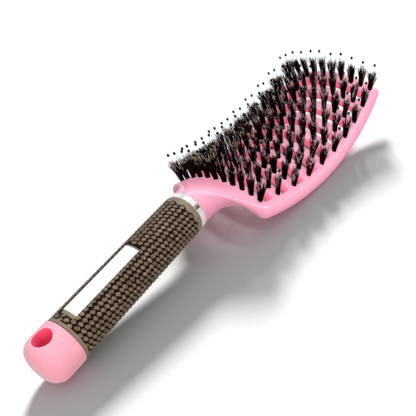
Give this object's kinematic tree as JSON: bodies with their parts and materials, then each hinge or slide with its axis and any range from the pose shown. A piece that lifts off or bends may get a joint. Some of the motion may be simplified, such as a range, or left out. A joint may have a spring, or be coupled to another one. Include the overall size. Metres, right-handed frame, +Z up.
{
  "type": "detangling brush",
  "caption": "Curved vented detangling hairbrush: crowned head with rows of bristle tufts and ball-tipped pins, pebbled rubber grip, metal ring and an end cap with a hang hole.",
  "frame": {"origin": "on the surface the brush lies on, below the middle of its box", "axes": "+X from the cap to the head along the brush, +Y across the head, +Z up, the way the bristles point"},
  "size_m": [0.2544, 0.0718, 0.0468],
  "materials": {
    "pink_plastic": "gloss, opaque pastel pink",
    "grip_rubber": "matt taupe rubber with raised pebbles",
    "ring_metal": "bright polished",
    "label_white": "plain white, smooth",
    "bristle": "near-black brown bristle with lighter tips",
    "ball_pin": "smooth nylon with a black ball"
  },
  "bodies": {
    "root": {"head_frame": "pink_plastic", "grip_sleeve": "grip_rubber", "ferrule_ring": "ring_metal", "end_cap": "pink_plastic", "label_plate": "label_white", "bristle_row_01": "bristle", "bristle_row_02": "bristle", "bristle_row_03": "bristle", "bristle_row_04": "bristle", "bristle_row_05": "bristle", "bristle_row_06": "bristle", "bristle_row_07": "bristle", "bristle_row_08": "bristle", "bristle_row_09": "bristle", "bristle_row_10": "bristle", "pin_row_01": "ball_pin", "pin_row_02": "ball_pin", "pin_row_03": "ball_pin", "pin_row_04": "ball_pin", "pin_row_05": "ball_pin", "pin_row_06": "ball_pin", "pin_row_07": "ball_pin", "pin_row_08": "ball_pin", "pin_row_09": "ball_pin", "pin_row_10": "ball_pin"}
  },
  "joints": []
}
